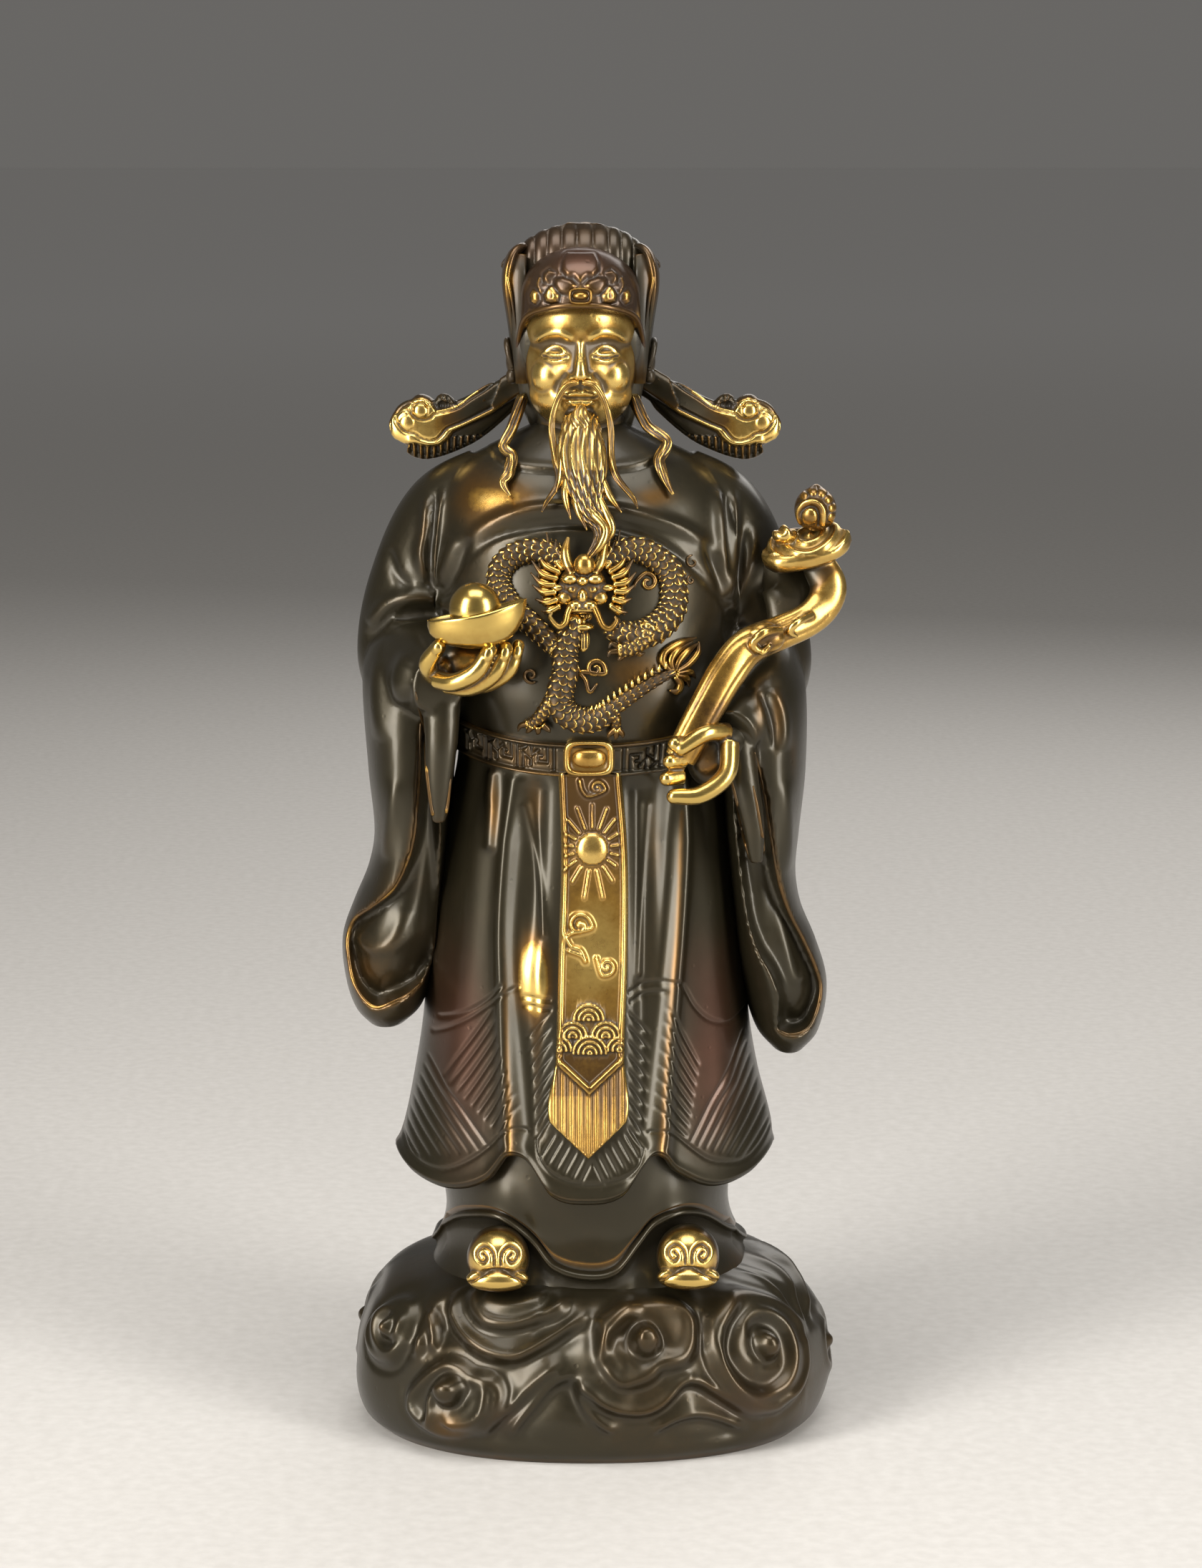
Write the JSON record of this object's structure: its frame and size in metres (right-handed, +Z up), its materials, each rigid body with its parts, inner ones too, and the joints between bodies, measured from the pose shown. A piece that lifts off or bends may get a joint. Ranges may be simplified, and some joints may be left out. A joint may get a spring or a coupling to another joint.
{
  "type": "caishen figure",
  "caption": "Standing Chinese god-of-wealth figure in an official's robe and winged hat, with ingot and ruyi sceptre, on a round bank of clouds.",
  "frame": {"origin": "centre of the footprint, on the surface the figure stands on", "axes": "+Z up, the figure faces -Y, +X to the viewer's right"},
  "size_m": [0.1294, 0.1096, 0.31],
  "materials": {
    "patinated_brass": "dark olive-brown patina, rubbed back to polished gold on the face, hands, ingot, sceptre, shoes, sash and raised edges"
  },
  "bodies": {
    "root": {"caishen_figure": "patinated_brass"}
  },
  "joints": []
}
